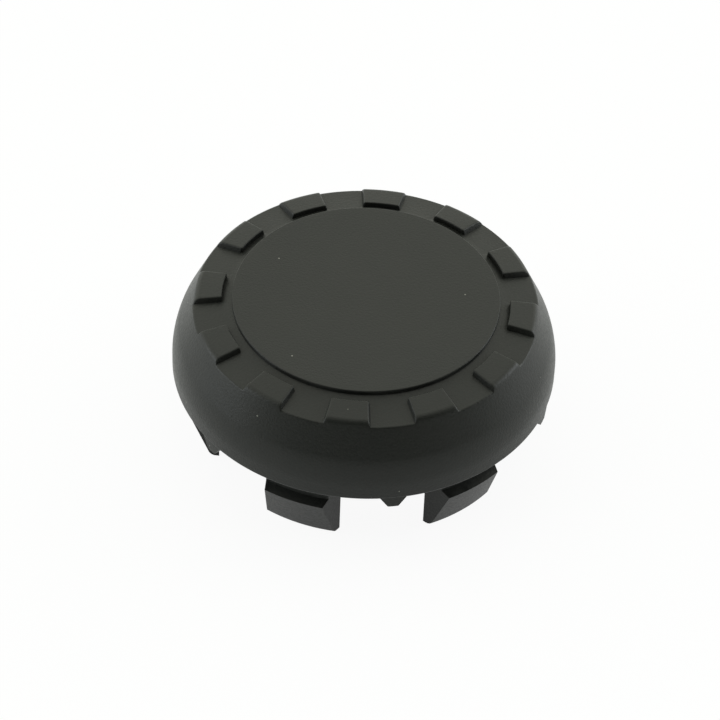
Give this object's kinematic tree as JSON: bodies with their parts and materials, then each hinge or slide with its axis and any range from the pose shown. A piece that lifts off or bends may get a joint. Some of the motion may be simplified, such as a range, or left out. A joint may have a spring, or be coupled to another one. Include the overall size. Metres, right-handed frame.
{
  "type": "mower wheel cap",
  "caption": "Round black moulded plastic hub cap for a lawn mower wheel, with a raised disc, a ring of low blocks, a flared side and barbed snap legs underneath.",
  "frame": {"origin": "on the cap's axis, in the plane of the snap legs' tips", "axes": "+Z along the cap's axis, out through the visible disc; +X through the middle of one snap leg"},
  "size_m": [0.07, 0.07, 0.031],
  "materials": {
    "black_plastic": "fine moulded grain, satin black"
  },
  "bodies": {
    "root": {"wheel_cap": "black_plastic"}
  },
  "joints": []
}
